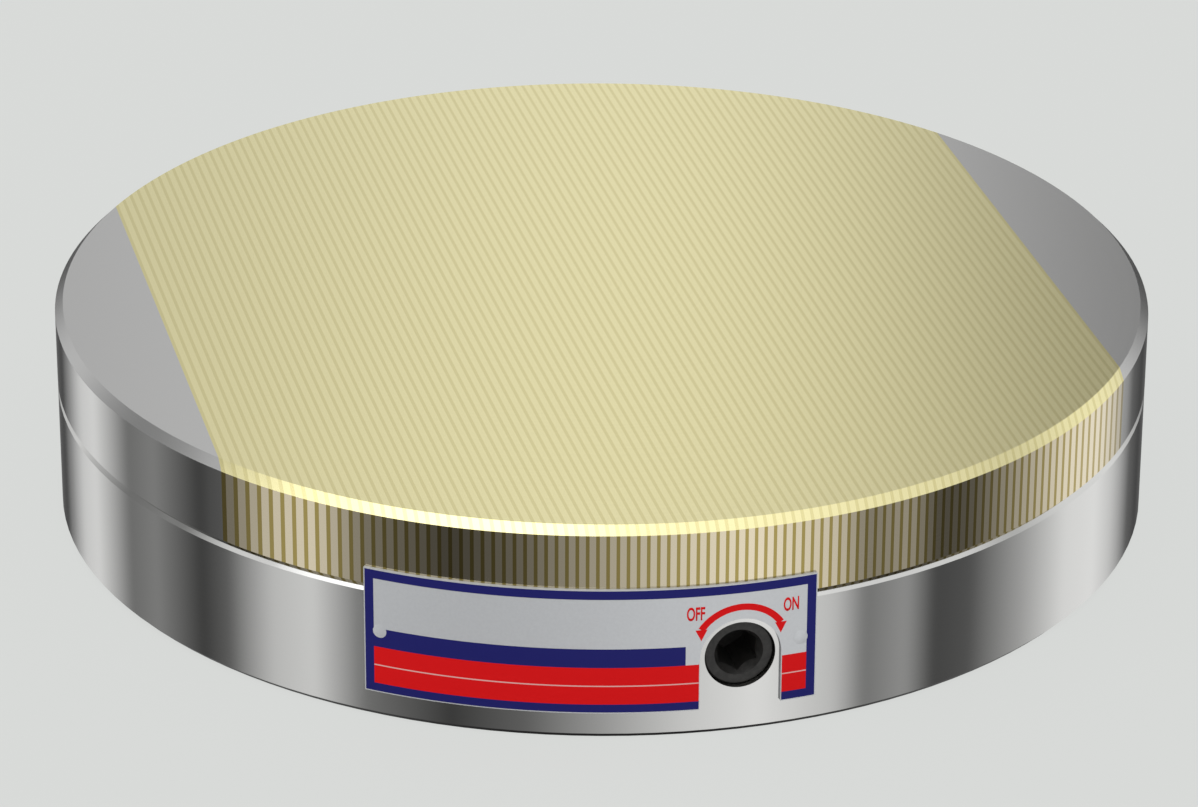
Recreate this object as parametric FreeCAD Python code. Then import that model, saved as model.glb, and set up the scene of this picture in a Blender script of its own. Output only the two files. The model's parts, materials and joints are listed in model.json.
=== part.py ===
"""Round permanent magnetic chuck with fine brass-and-steel poles, switched by a hex key.

Frame: millimetres, +Z up, origin at the centre of the underside. The key socket is on
the -Y side and the pole strips run along Y. The model is at rest with the chuck OFF.
"""
import FreeCAD, Part

import math
import os

# ---- driving dimensions, mm ------------------------------------------------------

# outside form
chuck_diameter = 300.0
housing_height = 38.0
face_plate_thickness = 22.0
face_edge_chamfer = 2.2
seam_chamfer = 2.2
foot_chamfer = 1.5

# laminated face plate
pole_strip_thickness = 1.6
brass_spacer_thickness = 0.9
side_segment_least_width = 28.0

# housing
rim_width = 24.0
floor_thickness = 10.0
journal_wall = 21.0
pocket_corner_radius = 3.0
pilot_diameter = 40.0
pilot_depth = 4.0
mount_core_diameter = 8.5
mount_hole_depth = 20.0
mount_hole_count = 4

# fasteners between the housing and the face plate
plate_screw_diameter = 8.0
plate_screw_head_diameter = 13.0
plate_screw_head_height = 8.0
plate_screw_key = 6.0
plate_screw_key_depth = 4.0
plate_screw_grip = 13.0
plate_screw_hole_clearance = 0.5
plate_screw_edge = 8.0
counterbore_clearance = 0.5
head_below_base = 1.0
tapped_run_out = 2.0
fastener_circle_inset = 11.0
dowel_diameter = 8.0
dowel_length = 26.0

# face seal
seal_width = 2.5
seal_height = 1.8
seal_gap = 0.05
seal_offset = 6.5

# eccentric shaft
shaft_height = 22.2
shaft_diameter = 18.4
shaft_set_back = 1.5
shaft_end_bevel = 0.5
key_across_flats = 10.0
key_socket_depth = 14.0
key_lead_in_diameter = 12.8
key_lead_in_depth = 2.4
shoulder_diameter = 23.0
shoulder_thickness = 4.0
eccentric_throw = 3.75
pin_diameter = 9.0
shaft_clearance = 0.1
bush_clearance = 0.05
thrust_clearance = 0.05

# shaft bush and seal
bush_wall = 1.75
bush_length = 9.5
shaft_seal_width = 2.4
shaft_seal_depth = 1.8
shaft_seal_inset = 4.0
shaft_seal_gap = 0.1

# limit screw: its dog point runs in a half-turn groove of the shaft
limit_screw_diameter = 6.0
limit_screw_length = 10.3
dog_diameter = 4.0
dog_clearance = 0.3
limit_groove_depth = 2.0
limit_screw_inset = 7.6
limit_screw_key = 3.0
limit_screw_key_depth = 3.0

# magnet pack
bar_thickness = 9.0
magnet_thickness = 6.0
magnet_block_length = 50.0
carrier_thickness = 5.0
retaining_ring_width = 5.0
pack_pocket_clearance = 0.6
pack_floor_clearance = 0.3
pack_plate_clearance = 0.2
joint_gap = 0.1

# drive yoke and slide block
yoke_width = 40.0
yoke_depth = 16.0
yoke_setback = 1.0
yoke_rear_wall = 6.0
block_width = 14.0
block_height = 12.0
block_clearance = 0.06
block_end_gap = 0.4
yoke_screw_diameter = 5.0
yoke_screw_head = 9.0
yoke_screw_bite = 14.0
yoke_screw_spacing = 28.0

# guide keys under the pack
guide_key_length = 150.0
guide_key_width = 10.0
guide_key_height = 4.5
guide_key_sunk = 2.0
guide_key_spacing = 120.0
guide_clearance = 0.1
guide_roof_gap = 0.2
guide_screw_diameter = 5.0
guide_screw_head = 9.0
guide_screw_length = 8.0
guide_screw_spacing = 100.0

# ring screws that hold the retaining ring to the carrier
ring_screw_diameter = 3.0
ring_screw_head = 5.6
ring_screw_count = 6
ring_screw_bite = 6.0

# nameplate, wrapped round the side
nameplate_length = 117.6
nameplate_height = 35.2
nameplate_bottom = 7.8
nameplate_thickness = 0.8
nameplate_right_of_socket = 20.1
nameplate_glue = 0.05
nameplate_notch_clearance = 1.5
rivet_head_diameter = 4.0
rivet_head_height = 0.25
rivet_shank_diameter = 2.0
rivet_shank_length = 5.0
rivet_edge = 4.3
rivet_height = 25.4

# ---- sizes worked out from them --------------------------------------------------

outer_radius = chuck_diameter / 2
chuck_height = housing_height + face_plate_thickness
pole_pitch = pole_strip_thickness + brass_spacer_thickness
widest_band = 2 * (outer_radius - side_segment_least_width)
pole_strip_count = int((widest_band - brass_spacer_thickness) / pole_pitch)
band_width = pole_strip_count * pole_pitch + brass_spacer_thickness

pocket_radius = outer_radius - rim_width
journal_wall_y = -(outer_radius - journal_wall)
fastener_circle = outer_radius - fastener_circle_inset
fastener_angle = math.degrees(math.acos((band_width / 2 + plate_screw_edge) / fastener_circle))
screw_angles = [side + turn for side in (0, 180) for turn in (-fastener_angle, 0, fastener_angle)]
dowel_angles = [fastener_angle / 2, 180 - fastener_angle / 2]
screw_head_top = head_below_base + plate_screw_head_height
seal_radius = pocket_radius + seal_offset

shaft_radius = shaft_diameter / 2
shaft_end_y = -(outer_radius - shaft_set_back)
shoulder_y = journal_wall_y + thrust_clearance
pin_x = -eccentric_throw
bush_outer_radius = shaft_radius + bush_clearance + bush_wall
limit_screw_y = -(outer_radius - limit_screw_inset)
shaft_seal_y = -(outer_radius - shaft_seal_inset)
housing_bore_radius = shaft_radius + shaft_clearance

pack_x = -eccentric_throw
pack_radius = pocket_radius - eccentric_throw - pack_pocket_clearance
ring_inner_radius = pack_radius - retaining_ring_width
carrier_bottom = floor_thickness + pack_floor_clearance
carrier_top = carrier_bottom + carrier_thickness
pack_top = housing_height - pack_plate_clearance
bar_pitch = bar_thickness + magnet_thickness
bar_count = int((2 * ring_inner_radius * 0.97 + magnet_thickness) / bar_pitch)
yoke_front_y = -(pack_radius - yoke_setback)
yoke_back_y = yoke_front_y + yoke_depth
block_back_y = yoke_back_y - yoke_rear_wall - block_end_gap
block_front_y = shoulder_y + shoulder_thickness + block_end_gap
# The slide follows the key in a straight ratio, so the slot is wider than the block by the
# most that the eccentric's cosine leaves that straight line.
cosine_departure = 0.2105 * eccentric_throw
slot_width = block_width + 2 * (cosine_departure + joint_gap)
guide_key_top = floor_thickness - guide_key_sunk + guide_key_height

nameplate_inner_radius = outer_radius + nameplate_glue
nameplate_outer_radius = nameplate_inner_radius + nameplate_thickness
degrees_per_mm = 180 / (math.pi * outer_radius)
nameplate_right_angle = nameplate_right_of_socket * degrees_per_mm
nameplate_left_angle = nameplate_right_angle - nameplate_length * degrees_per_mm
rivet_angles = [nameplate_right_angle - rivet_edge * degrees_per_mm,
                nameplate_left_angle + rivet_edge * degrees_per_mm]
notch_half_width = shaft_radius + nameplate_notch_clearance

# ---- helpers ---------------------------------------------------------------------

Z_AXIS = FreeCAD.Vector(0, 0, 1)
Y_AXIS = FreeCAD.Vector(0, 1, 0)
ORIGIN = FreeCAD.Vector(0, 0, 0)


def upright(radius, bottom, top, x=0.0, y=0.0):
    """A cylinder along Z between two heights."""
    return Part.makeCylinder(radius, top - bottom, FreeCAD.Vector(x, y, bottom), Z_AXIS)


def along_y(radius, front, back, x=0.0, z=shaft_height):
    """A cylinder along Y between two stations, on the shaft's axis unless placed."""
    return Part.makeCylinder(radius, back - front, FreeCAD.Vector(x, front, z), Y_AXIS)


def block(x0, x1, y0, y1, z0, z1):
    """A box between two corners."""
    return Part.makeBox(x1 - x0, y1 - y0, z1 - z0, FreeCAD.Vector(x0, y0, z0))


def turned(points, sweep=360.0):
    """A solid of revolution about Z from (radius, height) points."""
    outline = [FreeCAD.Vector(r, 0, z) for r, z in points]
    wire = Part.makePolygon(outline + outline[:1])
    return Part.Face(wire).revolve(ORIGIN, Z_AXIS, sweep)


def ring(inner, outer, bottom, top):
    """A square-section ring about Z."""
    return turned([(inner, bottom), (outer, bottom), (outer, top), (inner, top)])


def hexagon_prism(across_flats, length):
    """A hexagonal prism along Z from the origin, with corners on +Y and -Y."""
    corner = across_flats / math.sqrt(3)
    points = [FreeCAD.Vector(corner * math.sin(math.radians(60 * i)),
                             corner * math.cos(math.radians(60 * i)), 0) for i in range(7)]
    return Part.Face(Part.makePolygon(points)).extrude(FreeCAD.Vector(0, 0, length))


def countersunk_screw(diameter, head, length, place, points_down=True):
    """A flush countersunk screw with a 90 degree head, its flat face at a place."""
    shank = diameter / 2
    cone = (head - diameter) / 2
    screw = turned([(0, -length), (shank, -length), (shank, -cone), (head / 2, 0), (0, 0)])
    if not points_down:
        screw.rotate(ORIGIN, FreeCAD.Vector(1, 0, 0), 180)
    screw.translate(place)
    return screw


def on_circle(radius, degrees):
    """The X and Y of a point on a circle about Z."""
    return radius * math.cos(math.radians(degrees)), radius * math.sin(math.radians(degrees))


def face_the_side(shape, degrees):
    """Turns a shape made on the -Y side round Z; positive angles go to its right."""
    shape.rotate(ORIGIN, Z_AXIS, degrees)
    return shape


def save(name, *solids):
    """Writes one node; several solids share it as a group."""
    shape = solids[0] if len(solids) == 1 else Part.makeCompound(list(solids))
    shape.exportStep(os.path.join("parts", name + ".step"))


# ---- face plate ------------------------------------------------------------------


def face_disc():
    """The whole face plate as one bevelled disc, which the solid segments are cut from."""
    inner_top = outer_radius - face_edge_chamfer
    edge = chuck_height - face_edge_chamfer
    return turned([(0, housing_height), (outer_radius, housing_height), (outer_radius, edge),
                   (inner_top, chuck_height), (0, chuck_height)])


def slice_of_disc(disc, left, right):
    """The part of the disc between two planes across X."""
    slab = block(left, right, -chuck_diameter, chuck_diameter, 0, 2 * chuck_height)
    return disc.common(slab).Solids[0]


def strip_outline(x):
    """The face plate's bevelled outline where a plane across X cuts it."""
    reach = math.sqrt(outer_radius ** 2 - x ** 2)
    top_reach = math.sqrt((outer_radius - face_edge_chamfer) ** 2 - x ** 2)
    edge = chuck_height - face_edge_chamfer
    points = [(-reach, housing_height), (reach, housing_height), (reach, edge),
              (top_reach, chuck_height), (-top_reach, chuck_height), (-reach, edge)]
    corners = [FreeCAD.Vector(x, y, z) for y, z in points]
    return Part.makePolygon(corners + corners[:1])


def strip(left, right):
    """One lamination, ruled from its outline on one side to its outline on the other."""
    return Part.makeLoft([strip_outline(left), strip_outline(right)], True, True)


def laminations():
    """Steel pole strips and brass spacers in turn, a spacer at each end of the band."""
    strips = []
    spacers = []
    left = -band_width / 2
    for _ in range(pole_strip_count):
        spacers.append(strip(left, left + brass_spacer_thickness))
        strips.append(strip(left + brass_spacer_thickness, left + pole_pitch))
        left += pole_pitch
    spacers.append(strip(left, left + brass_spacer_thickness))
    return strips, spacers


def side_segments(disc):
    """The two solid steel segments, tapped and dowelled from below."""
    right = slice_of_disc(disc, band_width / 2, chuck_diameter)
    left = slice_of_disc(disc, -chuck_diameter, -band_width / 2)
    tapped_top = housing_height + plate_screw_grip + tapped_run_out
    cutters = [upright(plate_screw_diameter / 2, housing_height, tapped_top,
                       *on_circle(fastener_circle, a)) for a in screw_angles]
    cutters += [upright(dowel_diameter / 2, housing_height, housing_height + dowel_length / 2,
                        *on_circle(fastener_circle, a)) for a in dowel_angles]
    return left.cut(cutters).Solids[0], right.cut(cutters).Solids[0]


# ---- housing ---------------------------------------------------------------------


def housing_outline():
    """The turned blank: bevelled at the seam and at the foot, with the pilot recess."""
    pilot = pilot_diameter / 2
    return turned([(0, pilot_depth), (pilot, pilot_depth), (pilot, 0),
                   (outer_radius - foot_chamfer, 0), (outer_radius, foot_chamfer),
                   (outer_radius, housing_height - seam_chamfer),
                   (outer_radius - seam_chamfer, housing_height), (0, housing_height)])


def pocket():
    """The round pocket for the magnet pack, with a milled relief for the shaft's shoulder."""
    round_part = upright(pocket_radius, floor_thickness, chuck_height)
    half = shoulder_diameter / 2 + pocket_corner_radius
    relief = block(-half, half, journal_wall_y, journal_wall_y + journal_wall,
                   floor_thickness, chuck_height)
    corners = [e for e in relief.Edges if abs(e.CenterOfMass.y - journal_wall_y) < 1e-6
               and e.BoundBox.ZLength > floor_thickness and e.BoundBox.XLength < 1e-6]
    return round_part.fuse(relief.makeFillet(pocket_corner_radius, corners))


def shaft_bores():
    """The shaft's bore through the rim, stepped for the bush."""
    outer = along_y(housing_bore_radius, -chuck_diameter, journal_wall_y + 1)
    seat = along_y(bush_outer_radius, journal_wall_y - bush_length, journal_wall_y + 1)
    return [outer, seat]


def housing_fastener_holes():
    """Counterbored screw holes, dowel holes, tapped mounting holes and the limit screw's."""
    cutters = []
    hole = plate_screw_diameter / 2 + plate_screw_hole_clearance
    counterbore = plate_screw_head_diameter / 2 + counterbore_clearance
    for angle in screw_angles:
        x, y = on_circle(fastener_circle, angle)
        cutters.append(upright(hole, -1, housing_height + 1, x, y))
        cutters.append(upright(counterbore, -1, screw_head_top, x, y))
    for angle in dowel_angles:
        x, y = on_circle(fastener_circle, angle)
        cutters.append(upright(dowel_diameter / 2, housing_height - dowel_length / 2,
                               housing_height + 1, x, y))
    for i in range(mount_hole_count):
        x, y = on_circle(fastener_circle, (i + 0.5) * 360 / mount_hole_count)
        cutters.append(upright(mount_core_diameter / 2, -1, mount_hole_depth, x, y))
    cutters.append(upright(limit_screw_diameter / 2, -1, shaft_height, 0, limit_screw_y))
    return cutters


def guide_key_seats():
    """Grooves in the floor for the guide keys, and the core holes of their screws."""
    cutters = []
    for side in (-1, 1):
        y = side * guide_key_spacing / 2
        cutters.append(block(-guide_key_length / 2, guide_key_length / 2,
                             y - guide_key_width / 2, y + guide_key_width / 2,
                             floor_thickness - guide_key_sunk, floor_thickness + 1))
        for end in (-1, 1):
            cutters.append(upright(guide_screw_diameter / 2, guide_key_top - guide_screw_length,
                                   floor_thickness, end * guide_screw_spacing / 2, y))
    return cutters


def rivet_holes(outside):
    """Radial holes for the nameplate's rivets, from their tips to a radius outside them."""
    tip = outer_radius - rivet_shank_length
    holes = []
    for angle in rivet_angles:
        hole = along_y(rivet_shank_diameter / 2, -outside, -tip, 0, rivet_height)
        holes.append(face_the_side(hole, angle))
    return holes


def housing():
    """The steel cup that carries everything."""
    seal_groove = ring(seal_radius - seal_width / 2, seal_radius + seal_width / 2,
                       housing_height - seal_height, housing_height + 1)
    cutters = [pocket(), seal_groove] + shaft_bores() + housing_fastener_holes()
    cutters += guide_key_seats() + rivet_holes(outer_radius + 1)
    return housing_outline().cut(cutters).Solids[0]


# ---- fasteners and seals of the housing ------------------------------------------


def plate_screw(angle):
    """A socket-head cap screw from below, with its hexagon socket."""
    x, y = on_circle(fastener_circle, angle)
    head = upright(plate_screw_head_diameter / 2, head_below_base, screw_head_top, x, y)
    shank = upright(plate_screw_diameter / 2, screw_head_top, housing_height + plate_screw_grip,
                    x, y)
    socket = hexagon_prism(plate_screw_key, plate_screw_key_depth)
    socket.translate(FreeCAD.Vector(x, y, head_below_base))
    return head.fuse(shank).cut(socket).removeSplitter().Solids[0]


def locating_dowel(angle):
    """A ground dowel, half in the housing and half in the face plate."""
    return upright(dowel_diameter / 2, housing_height - dowel_length / 2,
                   housing_height + dowel_length / 2, *on_circle(fastener_circle, angle))


def face_seal():
    """The square sealing cord between the housing and the face plate."""
    half = seal_width / 2 - seal_gap
    return ring(seal_radius - half, seal_radius + half,
                housing_height - seal_height, housing_height - seal_gap)


def guide_key(side):
    """A brass key let into the floor, with countersunk screw holes."""
    y = side * guide_key_spacing / 2
    bottom = floor_thickness - guide_key_sunk
    key = block(-guide_key_length / 2, guide_key_length / 2,
                y - guide_key_width / 2, y + guide_key_width / 2, bottom, guide_key_top)
    return key.cut([guide_screw(end, side) for end in (-1, 1)]).Solids[0]


def guide_screw(end, side):
    """A countersunk screw, flush with the top of its key."""
    place = FreeCAD.Vector(end * guide_screw_spacing / 2, side * guide_key_spacing / 2,
                           guide_key_top)
    return countersunk_screw(guide_screw_diameter, guide_screw_head, guide_screw_length, place)


def limit_screw():
    """The dog-point set screw that keeps the shaft in and stops it after half a turn."""
    dog_top = shaft_height - shaft_radius + limit_groove_depth - dog_clearance
    body_top = shaft_height - housing_bore_radius - dog_clearance
    body = upright(limit_screw_diameter / 2, body_top - limit_screw_length, body_top,
                   0, limit_screw_y)
    dog = upright(dog_diameter / 2, body_top, dog_top, 0, limit_screw_y)
    socket = hexagon_prism(limit_screw_key, limit_screw_key_depth)
    socket.translate(FreeCAD.Vector(0, limit_screw_y, body_top - limit_screw_length))
    return body.fuse(dog).cut(socket).removeSplitter().Solids[0]


def shaft_bush():
    """The bronze bush pressed into the rim from the pocket side."""
    front = journal_wall_y - bush_length
    outside = along_y(bush_outer_radius, front, journal_wall_y)
    return outside.cut(along_y(shaft_radius + bush_clearance, front, journal_wall_y))


# ---- eccentric shaft and slide block ---------------------------------------------


def shaft_end():
    """The bevelled outer end of the shaft, as a cylinder along Y."""
    body = along_y(shaft_radius, shaft_end_y, shoulder_y)
    rim_edge = [e for e in body.Edges if abs(e.BoundBox.YMax - shaft_end_y) < 1e-6]
    return body.makeChamfer(shaft_end_bevel, rim_edge)


def key_socket():
    """The hexagon socket with a conical lead-in, a corner at its lowest point at rest."""
    prism = hexagon_prism(key_across_flats, key_socket_depth)
    prism.rotate(ORIGIN, FreeCAD.Vector(1, 0, 0), -90)
    prism.translate(FreeCAD.Vector(0, shaft_end_y, shaft_height))
    cone = Part.makeCone(key_lead_in_diameter / 2, key_across_flats / 2, key_lead_in_depth,
                         FreeCAD.Vector(0, shaft_end_y, shaft_height), Y_AXIS)
    return prism.fuse(cone)


def limit_groove():
    """The groove on the +X half of the shaft that the limit screw's dog runs in."""
    half_width = dog_diameter / 2 + dog_clearance / 2
    front = limit_screw_y - half_width
    back = limit_screw_y + half_width
    tube = along_y(shaft_diameter, front, back)
    tube = tube.cut(along_y(shaft_radius - limit_groove_depth, front, back))
    end = dog_diameter / 2 + dog_clearance
    half = block(-end, 2 * shaft_diameter, front - 1, back + 1,
                 shaft_height - 2 * shaft_diameter, shaft_height + 2 * shaft_diameter)
    return tube.common(half)


def shaft_seal(outer, width):
    """A square ring at the seal's station, from the bottom of its groove outwards."""
    front = shaft_seal_y - width / 2
    back = shaft_seal_y + width / 2
    return along_y(outer, front, back).cut(along_y(shaft_radius - shaft_seal_depth, front, back))


def shaft_seal_ring():
    """The seal ring on the shaft, just clear of the housing's bore."""
    return shaft_seal(housing_bore_radius - shaft_seal_gap / 2,
                      shaft_seal_width - 2 * shaft_seal_gap)


def eccentric_shaft():
    """One turned piece: keyed end, journal, shoulder and eccentric pin."""
    shoulder = along_y(shoulder_diameter / 2, shoulder_y, shoulder_y + shoulder_thickness)
    pin = along_y(pin_diameter / 2, shoulder_y + shoulder_thickness, block_back_y, pin_x)
    shaft = shaft_end().fuse([shoulder, pin]).removeSplitter()
    seal_groove = shaft_seal(shoulder_diameter, shaft_seal_width)
    return shaft.cut([key_socket(), limit_groove(), seal_groove]).Solids[0]


def slide_block():
    """The bronze block that the pin turns in; it slides up and down in the yoke."""
    body = block(pin_x - block_width / 2, pin_x + block_width / 2, block_front_y, block_back_y,
                 shaft_height - block_height / 2, shaft_height + block_height / 2)
    hole = along_y(pin_diameter / 2 + block_clearance, block_front_y, block_back_y, pin_x)
    return body.cut(hole)


# ---- magnet pack -----------------------------------------------------------------


def bar_length_y(edge_x):
    """The front and back ends of a bar whose far edge lies at this distance from the middle."""
    reach = math.sqrt((ring_inner_radius - joint_gap) ** 2 - edge_x ** 2)
    return -reach, reach


def bar_at(left, right):
    """Front and back ends of a bar between two planes, short of the yoke where they meet."""
    front, back = bar_length_y(max(abs(left), abs(right)))
    if left < yoke_width / 2 + joint_gap and right > -yoke_width / 2 - joint_gap:
        front = yoke_back_y + joint_gap
    return front, back


def pack_bars():
    """Steel pole bars and rows of magnet blocks in turn, a pole bar at each side."""
    bars = []
    magnets = []
    left = -(bar_count * bar_pitch - magnet_thickness) / 2
    for i in range(bar_count):
        right = left + bar_thickness
        front, back = bar_at(left, right)
        bars.append(block(pack_x + left, pack_x + right, front, back, carrier_top, pack_top))
        if i < bar_count - 1:
            magnets += magnet_row(right, right + magnet_thickness)
        left += bar_pitch
    return bars, magnets


def magnet_row(left, right):
    """Magnet blocks end to end between two pole bars."""
    front, back = bar_at(left, right)
    count = max(1, round((back - front) / magnet_block_length))
    step = (back - front) / count
    return [block(pack_x + left, pack_x + right, front + k * step, front + (k + 1) * step,
                  carrier_top, pack_top) for k in range(count)]


def yoke_gap():
    """The space round the yoke that the retaining ring leaves."""
    half = yoke_width / 2 + joint_gap
    return block(pack_x - half, pack_x + half, -chuck_diameter, yoke_back_y + joint_gap,
                 carrier_top, housing_height)


def ring_screw_places():
    """Where the ring screws stand, evenly spaced, with the yoke midway between two of them."""
    middle = (pack_radius + ring_inner_radius) / 2
    angles = [(i + 0.5) * 360 / ring_screw_count - 90 for i in range(ring_screw_count)]
    return [(pack_x + x, y) for x, y in (on_circle(middle, a) for a in angles)]


def retaining_ring():
    """The aluminium ring round the bars, open at the yoke."""
    band = ring(ring_inner_radius, pack_radius, carrier_top, pack_top)
    band.translate(FreeCAD.Vector(pack_x, 0, 0))
    return band.cut([yoke_gap()] + ring_screws()).Solids[0]


def ring_screws():
    """Countersunk screws from under the carrier into the retaining ring."""
    length = carrier_thickness + ring_screw_bite
    return [countersunk_screw(ring_screw_diameter, ring_screw_head, length,
                              FreeCAD.Vector(x, y, carrier_bottom), points_down=False)
            for x, y in ring_screw_places()]


def yoke_screw_places():
    """Where the yoke's two screws stand."""
    y = (yoke_front_y + yoke_back_y) / 2
    return [(pack_x + side * yoke_screw_spacing / 2, y) for side in (-1, 1)]


def drive_yoke():
    """The steel yoke whose upright slot the slide block pushes on."""
    body = block(pack_x - yoke_width / 2, pack_x + yoke_width / 2, yoke_front_y, yoke_back_y,
                 carrier_top, pack_top)
    slot = block(pack_x - slot_width / 2, pack_x + slot_width / 2, yoke_front_y - 1,
                 yoke_back_y - yoke_rear_wall, carrier_top - 1, pack_top + 1)
    return body.cut([slot] + yoke_screws()).Solids[0]


def yoke_screws():
    """Countersunk screws from under the carrier into the yoke."""
    length = carrier_thickness + yoke_screw_bite
    return [countersunk_screw(yoke_screw_diameter, yoke_screw_head, length,
                              FreeCAD.Vector(x, y, carrier_bottom), points_down=False)
            for x, y in yoke_screw_places()]


def carrier_plate():
    """The disc that carries the bars and slides on the guide keys."""
    disc = upright(pack_radius, carrier_bottom, carrier_top, pack_x, 0)
    cutters = ring_screws() + yoke_screws()
    half = guide_key_width / 2 + guide_clearance
    for side in (-1, 1):
        y = side * guide_key_spacing / 2
        cutters.append(block(-chuck_diameter, chuck_diameter, y - half, y + half,
                             carrier_bottom - 1, guide_key_top + guide_roof_gap))
    return disc.cut(cutters).Solids[0]


# ---- nameplate -------------------------------------------------------------------


def nameplate():
    """The thin plate wrapped round the side, notched from below for the shaft."""
    top = nameplate_bottom + nameplate_height
    sheet = turned([(nameplate_inner_radius, nameplate_bottom),
                    (nameplate_outer_radius, nameplate_bottom),
                    (nameplate_outer_radius, top), (nameplate_inner_radius, top)],
                   nameplate_length * degrees_per_mm)
    sheet = face_the_side(sheet, nameplate_left_angle - 90)
    notch = along_y(notch_half_width, -chuck_diameter, 0)
    notch = notch.fuse(block(-notch_half_width, notch_half_width, -chuck_diameter, 0,
                             0, shaft_height))
    return sheet.cut([notch] + rivet_holes(nameplate_outer_radius + 1)).Solids[0]


def nameplate_rivet(angle):
    """A drive rivet with a low domed head, driven radially into the housing."""
    head = rivet_head_diameter / 2
    sphere_radius = (head ** 2 + rivet_head_height ** 2) / (2 * rivet_head_height)
    dome = Part.makeSphere(sphere_radius)
    dome.translate(FreeCAD.Vector(0, -(nameplate_outer_radius + rivet_head_height
                                       - sphere_radius), rivet_height))
    seat = along_y(head, -chuck_diameter, -nameplate_outer_radius, 0, rivet_height)
    tip = outer_radius - rivet_shank_length
    shank = along_y(rivet_shank_diameter / 2, -nameplate_outer_radius - rivet_head_height / 2,
                    -tip, 0, rivet_height)
    return face_the_side(dome.common(seat).fuse(shank).removeSplitter().Solids[0], angle)


# ---- write every node ------------------------------------------------------------


def main():
    os.makedirs("parts", exist_ok=True)
    disc = face_disc()
    strips, spacers = laminations()
    left_segment, right_segment = side_segments(disc)
    bars, magnets = pack_bars()
    save("housing", housing())
    save("side_segment_left", left_segment)
    save("side_segment_right", right_segment)
    save("pole_strips", *strips)
    save("brass_spacers", *spacers)
    save("plate_screws", *[plate_screw(a) for a in screw_angles])
    save("locating_dowels", *[locating_dowel(a) for a in dowel_angles])
    save("face_seal", face_seal())
    save("guide_keys", *[guide_key(side) for side in (-1, 1)])
    save("guide_key_screws", *[guide_screw(end, side) for side in (-1, 1) for end in (-1, 1)])
    save("shaft_bush", shaft_bush())
    save("limit_screw", limit_screw())
    save("eccentric_shaft", eccentric_shaft())
    save("shaft_seal_ring", shaft_seal_ring())
    save("slide_block", slide_block())
    save("carrier_plate", carrier_plate())
    save("retaining_ring", retaining_ring())
    save("retaining_ring_screws", *ring_screws())
    save("pack_pole_bars", *bars)
    save("magnet_blocks", *magnets)
    save("drive_yoke", drive_yoke())
    save("drive_yoke_screws", *yoke_screws())
    save("nameplate", nameplate())
    save("nameplate_rivets", *[nameplate_rivet(a) for a in rivet_angles])


main()
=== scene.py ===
# %% [markdown]
# # A round permanent magnetic chuck
#
# A magnetic chuck holds steel work on a grinder without clamps. This one is a turned
# steel cup under a ground face plate. Most of the face is a stack of thin steel and brass
# strips, the poles, and a row of magnets slides under them when a hex key is turned.
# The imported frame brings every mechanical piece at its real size, so this lesson gives
# those pieces their finish, adds the print on the nameplate, and lights the whole.

# %% Load the frame
import json
import math

import bmesh
import bpy
from mathutils import Matrix, Quaternion, Vector


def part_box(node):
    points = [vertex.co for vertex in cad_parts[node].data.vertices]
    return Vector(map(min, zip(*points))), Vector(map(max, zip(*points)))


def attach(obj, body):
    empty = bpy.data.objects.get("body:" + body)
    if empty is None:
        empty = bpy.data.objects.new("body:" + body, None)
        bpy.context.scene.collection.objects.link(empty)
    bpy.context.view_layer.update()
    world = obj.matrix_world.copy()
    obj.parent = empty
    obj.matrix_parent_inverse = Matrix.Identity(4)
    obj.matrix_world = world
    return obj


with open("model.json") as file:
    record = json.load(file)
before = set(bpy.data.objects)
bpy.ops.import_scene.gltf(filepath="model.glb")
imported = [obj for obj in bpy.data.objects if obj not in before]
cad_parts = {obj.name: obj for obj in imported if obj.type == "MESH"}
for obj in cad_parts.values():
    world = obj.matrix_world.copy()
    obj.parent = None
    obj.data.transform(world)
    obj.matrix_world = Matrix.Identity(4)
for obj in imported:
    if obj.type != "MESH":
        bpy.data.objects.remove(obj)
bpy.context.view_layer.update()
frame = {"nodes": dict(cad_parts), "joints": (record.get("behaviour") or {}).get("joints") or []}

nodes = frame["nodes"]
print("pieces from the frame:", len(nodes))

# %% [markdown]
# ## Sizes that the finish needs
#
# Places come from the frame, so that the print and the patterns follow the part if its
# size changes. A millimetre is the natural unit for a machine part, and Blender works in
# metres, so one constant turns one into the other.

# %% Take the sizes from the frame
MM = 0.001

housing_low, housing_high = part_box("housing")
face_low, face_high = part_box("pole_strips")
chuck_radius = housing_high.y
chuck_height = face_high.z
seam_height = housing_high.z
shaft_joint = next(j for j in frame["joints"] if j["name"] == "shaft_turn")
socket_height = shaft_joint["pos_m"][2]
plate_low, plate_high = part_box("nameplate")
plate_radius = -plate_low.y
plate_left = plate_radius * math.asin(plate_low.x / plate_radius)
plate_right = plate_radius * math.asin(plate_high.x / plate_radius)
print(f"chuck {2 * chuck_radius / MM:.0f} mm across and {chuck_height / MM:.0f} mm high")
print(f"nameplate {(plate_right - plate_left) / MM:.1f} mm along the arc")

# %% [markdown]
# ## Two helpers for materials
#
# Colours are easiest to pick as sRGB hex values, but the shader works with linear light,
# so one function converts them. The other function adds a node, sets its inputs and
# links them, which keeps each material to a few readable lines.

# %% Colours and nodes
def colour(hex_code):
    """An sRGB hex colour as linear RGBA."""
    channels = [int(hex_code[i:i + 2], 16) / 255 for i in (1, 3, 5)]
    linear = [c / 12.92 if c <= 0.04045 else ((c + 0.055) / 1.055) ** 2.4 for c in channels]
    return (*linear, 1.0)


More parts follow.
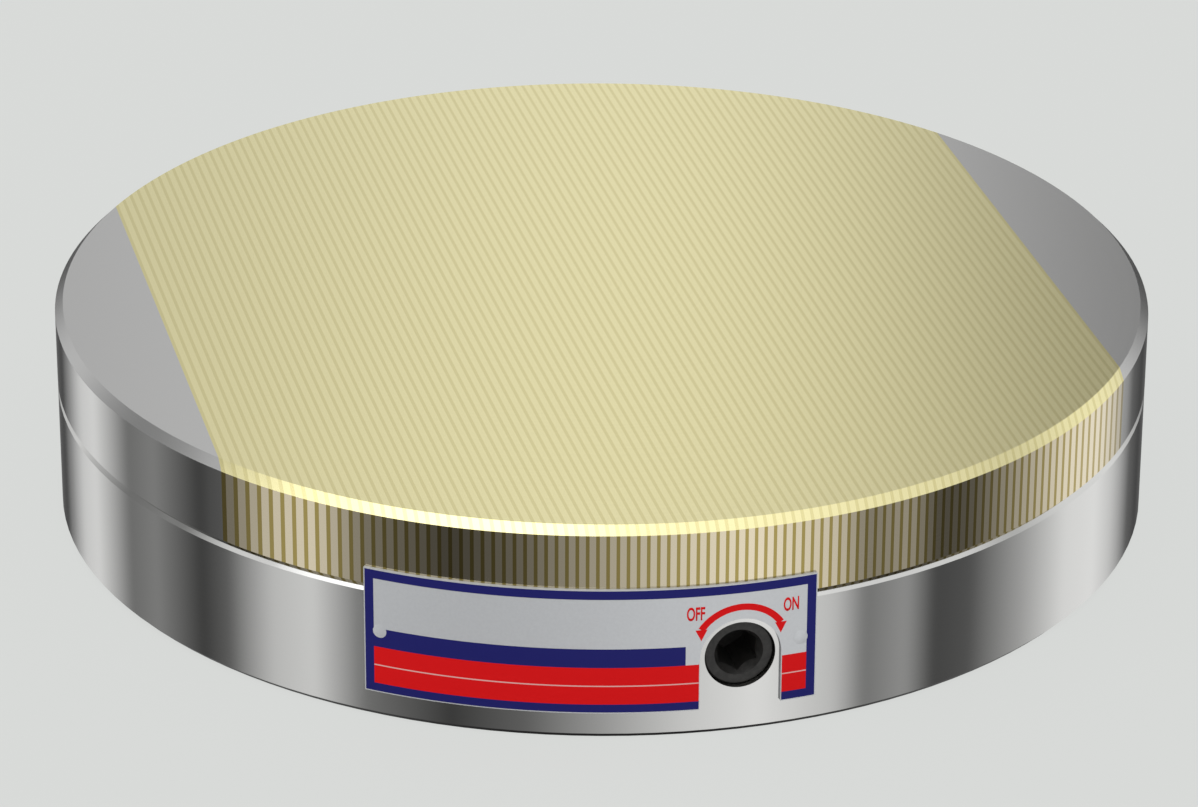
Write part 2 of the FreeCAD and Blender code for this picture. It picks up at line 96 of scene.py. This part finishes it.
def add_node(tree, kind, settings=None, links=None, **choices):
    """Adds a node with its menu choices, its input values and its links."""
    node = tree.nodes.new(kind)
    for name, value in choices.items():
        setattr(node, name, value)
    for socket, value in (settings or {}).items():
        node.inputs[socket].default_value = value
    for socket, source in (links or {}).items():
        tree.links.new(source, node.inputs[socket])
    return node


def new_material(name):
    """An empty node material with its output node."""
    material = bpy.data.materials.new(name)
    material.use_nodes = True
    material.node_tree.nodes.clear()
    output = material.node_tree.nodes.new("ShaderNodeOutputMaterial")
    return material, material.node_tree, output


def set_ramp(node, stops):
    """Gives a colour ramp its stops, each a position and a linear colour."""
    ramp = node.color_ramp
    while len(ramp.elements) > 1:
        ramp.elements.remove(ramp.elements[-1])
    ramp.elements[0].position, ramp.elements[0].color = stops[0]
    for position, shade in stops[1:]:
        ramp.elements.new(position).color = shade


# %% [markdown]
# ## Turned and ground steel
#
# The side of the chuck is turned on a lathe and polished. The tool leaves rings a few
# hundredths of a millimetre apart, all running round the axis. They are too fine to see
# one by one, but together they smear every reflection up and down, which is why a turned
# cylinder shows upright bands of light. Anisotropy with a tangent round the Z axis does
# the same, and a faint noise stretched along the rings breaks up the roughness.
# The rings are drawn 0.6 mm apart, coarser than real ones, so that they can show.

# %% Steel
def lathe_rings(tree, spacing, strength):
    """A bump of fine rings round the axis, from height and distance to the axis."""
    place = add_node(tree, "ShaderNodeTexCoord")
    split = add_node(tree, "ShaderNodeSeparateXYZ", links={0: place.outputs["Object"]})
    square_x = add_node(tree, "ShaderNodeMath", links={0: split.outputs[0], 1: split.outputs[0]},
                        operation="MULTIPLY")
    square = add_node(tree, "ShaderNodeMath", links={0: split.outputs[1], 1: split.outputs[1],
                                                     2: square_x.outputs[0]},
                      operation="MULTIPLY_ADD")
    reach = add_node(tree, "ShaderNodeMath", links={0: square.outputs[0]}, operation="SQRT")
    across = add_node(tree, "ShaderNodeMath", links={0: reach.outputs[0], 1: split.outputs[2]},
                      operation="ADD")
    rings = add_node(tree, "ShaderNodeTexNoise", {"Scale": 1 / spacing, "Detail": 2.0},
                     {"W": across.outputs[0]}, noise_dimensions="1D")
    bump = add_node(tree, "ShaderNodeBump", {"Strength": strength, "Distance": 0.02 * MM},
                    {"Height": rings.outputs[0]})
    return rings, bump


def machined_metal(name, base, roughness, spread, ring_spacing, ring_strength, smear):
    """Bare machined metal with lathe rings that smear its reflections across them."""
    material, tree, output = new_material(name)
    rings, bump = lathe_rings(tree, ring_spacing, ring_strength)
    round_the_axis = add_node(tree, "ShaderNodeTangent", direction_type="RADIAL", axis="Z")
    rough = add_node(tree, "ShaderNodeMapRange", {"To Min": roughness - spread,
                                                  "To Max": roughness + spread},
                     {"Value": rings.outputs[0]})
    shader = add_node(tree, "ShaderNodeBsdfPrincipled",
                      {"Base Color": colour(base), "Metallic": 1.0, "Anisotropic": smear,
                       "Anisotropic Rotation": 0.25},
                      {"Roughness": rough.outputs[0], "Normal": bump.outputs[0],
                       "Tangent": round_the_axis.outputs[0]})
    tree.links.new(shader.outputs[0], output.inputs[0])
    return material


turned_steel = machined_metal("turned_and_polished_steel", "#CDCDCB", 0.10, 0.02,
                              0.6 * MM, 0.10, 0.4)
ground_steel = machined_metal("ground_steel", "#C4C4C3", 0.25, 0.02, 0.9 * MM, 0.02, 0.0)
# The lamination steel comes as lit and shaded copies: the turned side is painted darker as painted
# shade, and the ground top is painted lighter and yellower as painted light.
pole_side_painted_shade = machined_metal("turned_lamination_steel_painted_shade", "#D9CEB4", 0.11, 0.02, 0.6 * MM, 0.06, 0.4)
pole_top_painted_light = machined_metal("ground_lamination_steel_painted_light", "#EBE3AE", 0.24, 0.02, 0.9 * MM, 0.02, 0.0)
# The brass is split the same way: the turned side is painted much darker as painted shade, and the
# ground top is painted lighter as painted light.
brass_side_painted_shade = machined_metal("turned_lamination_brass_painted_shade", "#A39358", 0.13, 0.02, 0.6 * MM, 0.06, 0.4)
brass_top_painted_light = machined_metal("ground_lamination_brass_painted_light", "#DCD39B", 0.24, 0.02, 0.9 * MM, 0.02, 0.0)
print("machined metals:", turned_steel.name, ground_steel.name, pole_top_painted_light.name, brass_top_painted_light.name)

# %% [markdown]
# ## Black oxide, bronze and the other plain finishes
#
# Screws and the key shaft are blackened in a hot salt bath. The oxide is thin, dark and
# slightly glossy with oil, with a faint cloudiness. The hidden pieces get the metal they
# are made of. One function makes them all, because they differ only in colour and gloss.

# %% Plain finishes
def cloudy_finish(name, dark, light, metallic, roughness, grain):
    """A finish whose colour wanders between two shades over a grain size."""
    material, tree, output = new_material(name)
    place = add_node(tree, "ShaderNodeTexCoord")
    cloud = add_node(tree, "ShaderNodeTexNoise", {"Scale": 1 / grain, "Detail": 4.0},
                     {"Vector": place.outputs["Object"]})
    shade = add_node(tree, "ShaderNodeValToRGB", links={"Fac": cloud.outputs[0]})
    set_ramp(shade, [(0.3, colour(dark)), (0.7, colour(light))])
    bump = add_node(tree, "ShaderNodeBump", {"Strength": 0.2, "Distance": 0.02 * MM},
                    {"Height": cloud.outputs[0]})
    shader = add_node(tree, "ShaderNodeBsdfPrincipled",
                      {"Metallic": metallic, "Roughness": roughness},
                      {"Base Color": shade.outputs[0], "Normal": bump.outputs[0]})
    tree.links.new(shader.outputs[0], output.inputs[0])
    return material


black_oxide = cloudy_finish("black_oxide_steel", "#242322", "#353432", 0.3, 0.42, 1.2 * MM)
anodised = cloudy_finish("satin_anodised_aluminium", "#D6D8DB", "#DADCDF", 0.35, 0.5, 0.8 * MM)
bronze = cloudy_finish("turned_bearing_bronze", "#A97C45", "#B98A4F", 1.0, 0.3, 2 * MM)
milled_brass = cloudy_finish("milled_brass", "#C9AE5C", "#D2B866", 1.0, 0.3, 2 * MM)
turned_aluminium = cloudy_finish("turned_aluminium", "#CFCFD1", "#D8D8DA", 1.0, 0.35, 3 * MM)
bar_steel = cloudy_finish("ground_bar_steel", "#B0B0AE", "#BBBBB9", 1.0, 0.3, 3 * MM)
coated_magnet = cloudy_finish("epoxy_coated_magnet", "#1F2021", "#2B2C2D", 0.0, 0.5, 1 * MM)
zinc_plate = cloudy_finish("zinc_plated_steel", "#C9CBCD", "#D5D7D9", 1.0, 0.25, 1 * MM)
nitrile = cloudy_finish("moulded_nitrile_rubber", "#141414", "#1D1D1D", 0.0, 0.6, 1 * MM)
print("plain finishes:", black_oxide.name, anodised.name, bronze.name, nitrile.name)

# %% [markdown]
# ## Dress the frame's pieces
#
# The imported meshes bring their own normals, so round faces already shade smoothly and the
# corners are crisp. Each piece only needs its finish. The face plate has two: its side is
# turned, while its top and bevel were ground after assembly, so the upward faces of those
# pieces get the ground finish. On the pole strips and brass spacers the two finishes are
# also lit and shaded copies: the ground tops are painted lighter and the turned sides darker.

# %% Give each piece its finish
finishes = {
    "housing": turned_steel,
    "side_segment_left": turned_steel,
    "side_segment_right": turned_steel,
    "pole_strips": pole_side_painted_shade,
    "brass_spacers": brass_side_painted_shade,
    "plate_screws": black_oxide,
    "locating_dowels": bar_steel,
    "face_seal": nitrile,
    "guide_keys": milled_brass,
    "guide_key_screws": zinc_plate,
    "shaft_bush": bronze,
    "limit_screw": black_oxide,
    "eccentric_shaft": black_oxide,
    "shaft_seal_ring": nitrile,
    "slide_block": bronze,
    "carrier_plate": turned_aluminium,
    "retaining_ring": turned_aluminium,
    "retaining_ring_screws": zinc_plate,
    "pack_pole_bars": bar_steel,
    "magnet_blocks": coated_magnet,
    "drive_yoke": bar_steel,
    "drive_yoke_screws": zinc_plate,
    "nameplate": anodised,
    "nameplate_rivets": anodised,
}
# On the pole strips and brass spacers the upward faces get the painted-light copy of their metal, and
# the sides keep the painted-shade copy.
ground_tops = {
    "side_segment_left": ground_steel,
    "side_segment_right": ground_steel,
    "pole_strips": pole_top_painted_light,
    "brass_spacers": brass_top_painted_light,
}
ground_slope = 0.6


def dress(node, material, top_material):
    """Puts a finish on a frame piece, and another on its ground faces if it has them."""
    mesh = node.data
    mesh.materials.clear()
    mesh.materials.append(material)
    if top_material:
        mesh.materials.append(top_material)
    for face in mesh.polygons:
        face.material_index = int(bool(top_material) and face.normal.z > ground_slope)


for name, material in finishes.items():
    dress(nodes[name], material, ground_tops.get(name))
print("dressed", len(finishes), "of", len(nodes), "pieces")

# %% [markdown]
# ## The print on the nameplate
#
# The plate is silver aluminium with screen-printed enamel: a blue frame, a blue bar, red
# fields and a red arrow that shows which way the key turns. Ink is a film a few
# hundredths of a millimetre thick. Each field is drawn flat, given that thickness, and
# then wrapped round the chuck, which is how a real plate is printed before it is bent.

# %% Enamels
def enamel(name, shade):
    """Screen-printed enamel: a smooth, slightly glossy film with a fine orange peel."""
    material, tree, output = new_material(name)
    place = add_node(tree, "ShaderNodeTexCoord")
    peel = add_node(tree, "ShaderNodeTexNoise", {"Scale": 1 / (0.5 * MM), "Detail": 1.0},
                    {"Vector": place.outputs["Object"]})
    bump = add_node(tree, "ShaderNodeBump", {"Strength": 0.1, "Distance": 0.01 * MM},
                    {"Height": peel.outputs[0]})
    shader = add_node(tree, "ShaderNodeBsdfPrincipled",
                      {"Base Color": colour(shade), "Roughness": 0.45,
                       "Specular IOR Level": 0.1},
                      {"Normal": bump.outputs[0]})
    tree.links.new(shader.outputs[0], output.inputs[0])
    return material


blue_enamel = enamel("screen_printed_blue_enamel", "#22236E")
red_enamel = enamel("screen_printed_red_enamel", "#E51216")
# The white is tinted pink, so that its thin line sits softly between two red fields.
white_enamel = enamel("screen_printed_white_enamel", "#E9B4B0")
print("enamels:", blue_enamel.name, red_enamel.name, white_enamel.name)

# %% [markdown]
# ### From a flat print to a wrapped one
#
# A grid of 1 mm columns bends smoothly. An extrusion gives the film its thickness, and
# each corner then moves to its angle round the axis. Every piece of print goes this way.

# %% Draw flat, thicken and wrap
film = 0.04 * MM
rim = 0.3 * MM
frame_width = 2.4 * MM
wrap_step = 1.0 * MM


def flat_field(bm, left, right, low, high):
    """A flat field with enough columns to bend smoothly."""
    columns = max(1, round((right - left) / wrap_step))
    place = (Matrix.Translation(((left + right) / 2, (low + high) / 2, 0))
             @ Matrix.Diagonal((right - left, high - low, 1, 1)))
    bmesh.ops.create_grid(bm, x_segments=columns, y_segments=1, size=0.5, matrix=place)


def thicken_and_wrap(bm):
    """Gives a flat print its film thickness and wraps it on the plate."""
    made = bmesh.ops.extrude_face_region(bm, geom=bm.faces[:])
    top = [v for v in made["geom"] if isinstance(v, bmesh.types.BMVert)]
    bmesh.ops.translate(bm, verts=top, vec=(0, 0, film))
    for vert in bm.verts:
        along, height, depth = vert.co
        angle = along / plate_radius
        reach = plate_radius + depth
        vert.co = (reach * math.sin(angle), -reach * math.cos(angle), height)
    bmesh.ops.recalc_face_normals(bm, faces=bm.faces[:])


def add_piece(name, bm, material, body):
    """Turns a bmesh into a piece that rides on a body."""
    mesh = bpy.data.meshes.new(name)
    bm.to_mesh(mesh)
    bm.free()
    mesh.materials.append(material)
    piece = bpy.data.objects.new(name, mesh)
    bpy.context.scene.collection.objects.link(piece)
    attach(piece, body)
    return piece


# %% [markdown]
# ### Where the fields lie
#
# The fields keep a bare rim inside the plate's edges and leave a gap for the notch round
# the key shaft. Their heights are above the chuck's foot.

# %% Lay out the fields
field_left = plate_left + rim
field_right = plate_right - rim
field_low = plate_low.z + rim
field_high = plate_high.z - rim
notch_left = -10.9 * MM
notch_right = 10.9 * MM
bar_right = -14.4 * MM
bar_high = 26.2 * MM
red_low, red_high = 10.4 * MM, 20.9 * MM
line_width = 0.35 * MM
line_height = (red_low + red_high) / 2
print(f"printed area {(field_right - field_left) / MM:.1f} by {(field_high - field_low) / MM:.1f} mm")

# %% [markdown]
# ### The blue ink
#
# All the blue is one piece. The frame is open at the notch, and the bar lies along the top
# of the left red field.

# %% Blue frame and bar
bm = bmesh.new()
inner_left = field_left + frame_width
inner_right = field_right - frame_width
flat_field(bm, field_left, field_right, field_high - frame_width, field_high)
flat_field(bm, field_left, inner_left, field_low, field_high - frame_width)
flat_field(bm, inner_right, field_right, field_low, field_high - frame_width)
flat_field(bm, inner_left, notch_left, field_low, red_low)
flat_field(bm, notch_right, inner_right, field_low, red_low)
flat_field(bm, inner_left, bar_right, red_high, bar_high)
thicken_and_wrap(bm)
blue_print = add_piece("nameplate_blue_print", bm, blue_enamel, "base")
print("blue print:", len(blue_print.data.polygons), "faces")

# %% [markdown]
# ### Red fields with a white line
#
# A thin white line halves the red on both sides of the notch. The red stops at the line, so
# the two inks never lie on top of each other.

# %% Red fields
bm = bmesh.new()
for left, right in ((inner_left, notch_left), (notch_right, inner_right)):
    flat_field(bm, left, right, red_low, line_height - line_width / 2)
    flat_field(bm, left, right, line_height + line_width / 2, red_high)
thicken_and_wrap(bm)
add_piece("nameplate_red_print", bm, red_enamel, "base")

bm = bmesh.new()
for left, right in ((inner_left, notch_left), (notch_right, inner_right)):
    flat_field(bm, left, right, line_height - line_width / 2, line_height + line_width / 2)
thicken_and_wrap(bm)
add_piece("nameplate_white_print", bm, white_enamel, "base")
print(f"red from {red_low / MM:.1f} to {red_high / MM:.1f} mm, line at {line_height / MM:.2f} mm")

# %% [markdown]
# ### The arrow
#
# The double arrow is an arc round the socket with a head at each end. An edge spun round
# the socket's centre leaves a ribbon, and a triangle at each end makes the heads.

# %% Turn arrow
arc_radius = 12.5 * MM
arc_stroke = 1.8 * MM
arc_above_socket = 1.6 * MM
arc_ends = (146.5, 33.5)
head_width = 3.1 * MM
head_length = 3.1 * MM

bm = bmesh.new()
start = math.radians(arc_ends[0])
sweep = math.radians(arc_ends[1] - arc_ends[0])
centre = Vector((0, socket_height + arc_above_socket, 0))
spoke = Vector((math.cos(start), math.sin(start), 0))
rail = [bm.verts.new(centre + spoke * (arc_radius + side * arc_stroke / 2)) for side in (-1, 1)]
bm.edges.new(rail)
bmesh.ops.spin(bm, geom=rail + bm.edges[:], cent=centre, axis=(0, 0, 1), dvec=(0, 0, 0),
               angle=sweep, steps=28, use_merge=False)
for degrees in arc_ends:
    angle = math.radians(degrees)
    end = centre + arc_radius * Vector((math.cos(angle), math.sin(angle), 0))
    corners = [end + Vector((-head_width / 2, 0, 0)), end + Vector((0, -head_length, 0)),
               end + Vector((head_width / 2, 0, 0))]
    bm.faces.new([bm.verts.new(corner) for corner in corners])
thicken_and_wrap(bm)
arrow = add_piece("turn_arrow", bm, red_enamel, "base")
print("arrow:", len(arrow.data.polygons), "faces over", arc_ends[0] - arc_ends[1], "degrees")

# %% [markdown]
# ### OFF and ON
#
# The two switch words are the only lettering. Text starts as a font curve, becomes a flat
# mesh, and is then thickened and wrapped like the other fields.

# %% Switch words
letter_height = 3.7 * MM
letter_narrowing = 0.52
word_height = 35.2 * MM


def switch_word(word, along, height):
    """One printed word, centred at a place on the plate."""
    curve = bpy.data.curves.new(word, "FONT")
    curve.body = word
    curve.align_x = "CENTER"
    curve.align_y = "CENTER"
    curve.size = 1.4 * letter_height
    curve.offset = 0.03 * letter_height
    text = bpy.data.objects.new(word, curve)
    bpy.context.scene.collection.objects.link(text)
    bpy.context.view_layer.update()
    mesh = bpy.data.meshes.new_from_object(text.evaluated_get(
        bpy.context.evaluated_depsgraph_get()))
    bm = bmesh.new()
    bm.from_mesh(mesh)
    bpy.data.objects.remove(text)
    bpy.data.meshes.remove(mesh)
    bmesh.ops.remove_doubles(bm, verts=bm.verts[:], dist=0.001 * MM)
    bmesh.ops.scale(bm, verts=bm.verts[:], vec=(letter_narrowing, 1, 1))
    bmesh.ops.translate(bm, verts=bm.verts[:], vec=(along, height, 0))
    thicken_and_wrap(bm)
    return add_piece("switch_word_" + word.lower(), bm, red_enamel, "base")


switch_word("OFF", -11.9 * MM, word_height)
switch_word("ON", 13.2 * MM, word_height)
print(f"switch words {letter_height / MM:.1f} mm high")

# %% [markdown]
# ## The studio
#
# The camera stands high and a little to the left of the key socket, far away with a long
# lens, which keeps the round face close to a true ellipse.

# %% Camera
view_azimuth = math.radians(-13.75)
view_elevation = math.radians(26.112)
view_distance = 10.146 * chuck_radius
aim_height = 0.158 * chuck_radius
aim_right = -0.004 * chuck_radius
camera_roll = math.radians(0.27)

camera_data = bpy.data.cameras.new("studio_camera")
camera_data.sensor_width = 36.0
camera_data.lens = 163.3
camera = bpy.data.objects.new("studio_camera", camera_data)
bpy.context.scene.collection.objects.link(camera)
outward = Vector((math.sin(view_azimuth) * math.cos(view_elevation),
                  -math.cos(view_azimuth) * math.cos(view_elevation),
                  math.sin(view_elevation)))
camera.location = outward * view_distance
aim = Vector((aim_right * math.cos(view_azimuth), aim_right * math.sin(view_azimuth),
              aim_height)) - camera.location
camera.rotation_mode = "QUATERNION"
camera.rotation_quaternion = (aim.to_track_quat("-Z", "Y")
                              @ Quaternion((0, 0, 1), camera_roll))
bpy.context.scene.camera = camera
print(f"camera {view_distance:.2f} m from the chuck's foot, lens {camera_data.lens} mm")

# %% [markdown]
# ### The light tent
#
# Bare metal has almost no colour of its own: it shows the room. Product shots of turned
# steel are lit in a tent of upright white panels with dark gaps between them, so that the
# side shows bright and dark bands. The world plays that tent for reflections: a ring of
# panels by direction, a cloth behind the chuck, a bright ceiling and a dark floor. The tent
# is set for this one camera, and from high up the top looks washed out.

# %% Tent panels
tent_turn = math.radians(-13.9)
# Each panel of the wall: its direction in degrees, right of the front, and its grey.
# Most of these greys were typed from another program's output. They aren't a design to
# learn from.
tent_panels = [
    (-180, "#3C3C3C"), (-173, "#6E6E6E"), (-166, "#4A4A4A"), (-158, "#3D3D3D"),
    (-150, "#818181"), (-141, "#BEBEBE"), (-133, "#CCCCCC"), (-125, "#A8A8A8"),
    (-117, "#6A6A6A"), (-107, "#7C7C7C"), (-92, "#3A3A3A"), (-84, "#5C5C5C"),
    (-72, "#BBBBBB"), (-62, "#CACACA"), (-50, "#6E6E6E"), (-31, "#3A3A3A"),
    (-15, "#5F5F5F"), (0, "#969696"), (18, "#C8C8C8"), (33, "#DCDCDC"),
    (50, "#BCBCBC"), (57, "#727272"), (67, "#909090"), (74, "#434343"),
    (84, "#505050"), (100, "#9E9E9E"), (115, "#D4D4D4"), (128, "#D8D8D8"),
    (137, "#BCBCBC"), (150, "#555555"), (160, "#3A3A3A"), (173, "#585858"),
]
# The cloth behind the chuck is lit from the left, and fades to the right.
back_cloth = [
    (-180, "#DADADA"), (-176, "#BABABA"), (-165, "#828282"), (-145, "#767676"),
    (145, "#282828"), (170, "#282828"), (175, "#7B7B7B"), (178, "#DADADA"),
]
steel_shine = 1.55
print("tent panels:", len(tent_panels), "and cloth tones:", len(back_cloth))

# %% [markdown]
# ### The world's own nodes
#
# A world is a node tree like a material, so the same helper builds it. Three more helpers
# name the steps that come back: a ring of tones, a blend of two, and a soft step.

# %% World and helpers
world = bpy.data.worlds.new("light_tent")
world.use_nodes = True
bpy.context.scene.world = world
tree = world.node_tree
tree.nodes.clear()
output = tree.nodes.new("ShaderNodeOutputWorld")


def tent_ring(tree, ring, shades):
    """A ring of greys by direction, blended from each to the next."""
    ramp = add_node(tree, "ShaderNodeValToRGB", links={"Fac": ring})
    set_ramp(ramp, [((degrees + 180) / 360, colour(grey)) for degrees, grey in shades])
    return ramp.outputs[0]


def blend(tree, share, first, second):
    """Goes from one colour to another as a share grows from 0 to 1."""
    mix = add_node(tree, "ShaderNodeMixRGB", links={"Fac": share, "Color1": first,
                                                    "Color2": second})
    return mix.outputs[0]


def step(tree, value, start, end):
    """A share that grows from 0 to 1 between two values."""
    ramp = add_node(tree, "ShaderNodeMapRange", {"From Min": start, "From Max": end},
                    {"Value": value}, clamp=True)
    return ramp.outputs[0]


print("world:", world.name)

# %% [markdown]
# ### The direction of a ray
#
# A world knows a ray only by its direction. Its height says how far it climbs, and its
# bearing round the chuck, from 0 to 1, says which panel it meets. The middle of the ring is
# the front, so the distance from the middle tells what is behind.

# %% Ray direction
compass = add_node(tree, "ShaderNodeTexCoord")
split = add_node(tree, "ShaderNodeSeparateXYZ", links={0: compass.outputs["Generated"]})
rise = split.outputs[2]
toward = add_node(tree, "ShaderNodeMath", {1: -1.0}, {0: split.outputs[1]}, operation="MULTIPLY")
bearing = add_node(tree, "ShaderNodeMath", links={0: split.outputs[0], 1: toward.outputs[0]},
                   operation="ARCTAN2")
turn = add_node(tree, "ShaderNodeMath", {1: 1 / (2 * math.pi), 2: 0.5 - tent_turn / (2 * math.pi)},
                {0: bearing.outputs[0]}, operation="MULTIPLY_ADD")
ring = add_node(tree, "ShaderNodeMath", links={0: turn.outputs[0]}, operation="FRACT")
off_centre = add_node(tree, "ShaderNodeMath", {1: 0.5}, {0: ring.outputs[0]},
                      operation="SUBTRACT")
behind = add_node(tree, "ShaderNodeMath", links={0: off_centre.outputs[0]},
                  operation="ABSOLUTE")
print("direction nodes so far:", len(tree.nodes))

# %% [markdown]
# ### Wall, cloth, ceiling and floor
#
# The side mirrors low rays and the top mirrors rays that rise behind the chuck, so the
# tent is stacked by height: floor, wall with the cloth at the back, then the ceiling.

# %% Stack the tent
cloth_rise = step(tree, rise, 0.10, 0.30)
cloth_reach = step(tree, behind.outputs[0], 0.37, 0.41)
cloth_share = add_node(tree, "ShaderNodeMath", links={0: cloth_rise, 1: cloth_reach},
                       operation="MULTIPLY")
ceiling = add_node(tree, "ShaderNodeValToRGB", links={"Fac": rise})
set_ramp(ceiling, [(0.62, colour("#CECECE")), (0.78, colour("#D0D0D0")),
                   (0.88, colour("#F4F4F4"))])
floor_shade = add_node(tree, "ShaderNodeRGB")
floor_shade.outputs[0].default_value = colour("#202020")
wall = blend(tree, cloth_share.outputs[0], tent_ring(tree, ring.outputs[0], tent_panels),
             tent_ring(tree, ring.outputs[0], back_cloth))
roofed = blend(tree, step(tree, rise, 0.56, 0.64), wall, ceiling.outputs[0])
tent = blend(tree, step(tree, rise, -0.72, -0.86), roofed, floor_shade.outputs[0])
print("nodes with the stacked tent:", len(tree.nodes))

# %% [markdown]
# ### What each ray sees
#
# Mirrored rays see the tent, so the metal gets its bands. Rays that light plain surfaces
# see an even white, and the camera sees the pale background.

# %% Sort the rays
mirrored = add_node(tree, "ShaderNodeBackground", {"Strength": steel_shine}, {"Color": tent})
even = add_node(tree, "ShaderNodeBackground", {"Color": (1, 1, 1, 1), "Strength": 0.8})
ray = add_node(tree, "ShaderNodeLightPath")
mixed = add_node(tree, "ShaderNodeMixShader", links={0: ray.outputs["Is Glossy Ray"],
                                                     1: even.outputs[0], 2: mirrored.outputs[0]})
seen = add_node(tree, "ShaderNodeBackground", {"Color": colour("#D9DBD9"), "Strength": 1.0})
final = add_node(tree, "ShaderNodeMixShader", links={0: ray.outputs["Is Camera Ray"],
                                                     1: mixed.outputs[0], 2: seen.outputs[0]})
tree.links.new(final.outputs[0], output.inputs[0])
print("world nodes:", len(tree.nodes))

# %% [markdown]
# ### Floor
#
# The chuck stands on a wide pale floor. Most of what the camera sees of it is a plain
# glow in the background's own colour, which hides where the floor ends. It isn't seen in
# the metal, because the tent already has its own floor.

# %% Floor
floor_radius = 8.0
bm = bmesh.new()
bmesh.ops.create_circle(bm, cap_ends=True, segments=64, radius=floor_radius)
mesh = bpy.data.meshes.new("studio_floor")
bm.to_mesh(mesh)
bm.free()
floor = bpy.data.objects.new("studio_floor", mesh)
bpy.context.scene.collection.objects.link(floor)
material, tree, output = new_material("painted_studio_floor")
paint = add_node(tree, "ShaderNodeBsdfDiffuse", {"Color": colour("#D9DBD9")})
plain = add_node(tree, "ShaderNodeEmission", {"Color": colour("#D9DBD9"), "Strength": 1.0})
ray = add_node(tree, "ShaderNodeLightPath")
share = add_node(tree, "ShaderNodeMath", {1: 0.92}, {0: ray.outputs["Is Camera Ray"]},
                 operation="MULTIPLY")
shader = add_node(tree, "ShaderNodeMixShader", links={0: share.outputs[0],
                                                      1: paint.outputs[0], 2: plain.outputs[0]})
tree.links.new(shader.outputs[0], output.inputs[0])
mesh.materials.append(material)
floor.visible_glossy = False
print(f"floor {2 * floor_radius:.0f} m across")

# %% [markdown]
# ### The softbox
#
# An area lamp gives soft edges like a cloth-fronted box. It hangs up and to the left.

# %% Softbox
def softbox(name, place, target, width, height, power):
    """A rectangular soft lamp aimed at a point."""
    data = bpy.data.lights.new(name, "AREA")
    data.shape = "RECTANGLE"
    data.size = width
    data.size_y = height
    data.energy = power
    lamp = bpy.data.objects.new(name, data)
    lamp.location = place
    lamp.rotation_mode = "QUATERNION"
    lamp.rotation_quaternion = (Vector(target) - Vector(place)).to_track_quat("-Z", "Y")
    bpy.context.scene.collection.objects.link(lamp)
    return lamp


lamp = softbox("overhead_softbox", (-0.6, -0.3, 1.6), (0, 0, 0), 1.4, 1.2, 5.0)
print("lamp:", lamp.name, lamp.data.energy, "W")

# %% [markdown]
# ## Finish
#
# The colours are shown as they are.

# %% View settings
bpy.context.scene.view_settings.view_transform = "Standard"
bpy.context.view_layer.update()
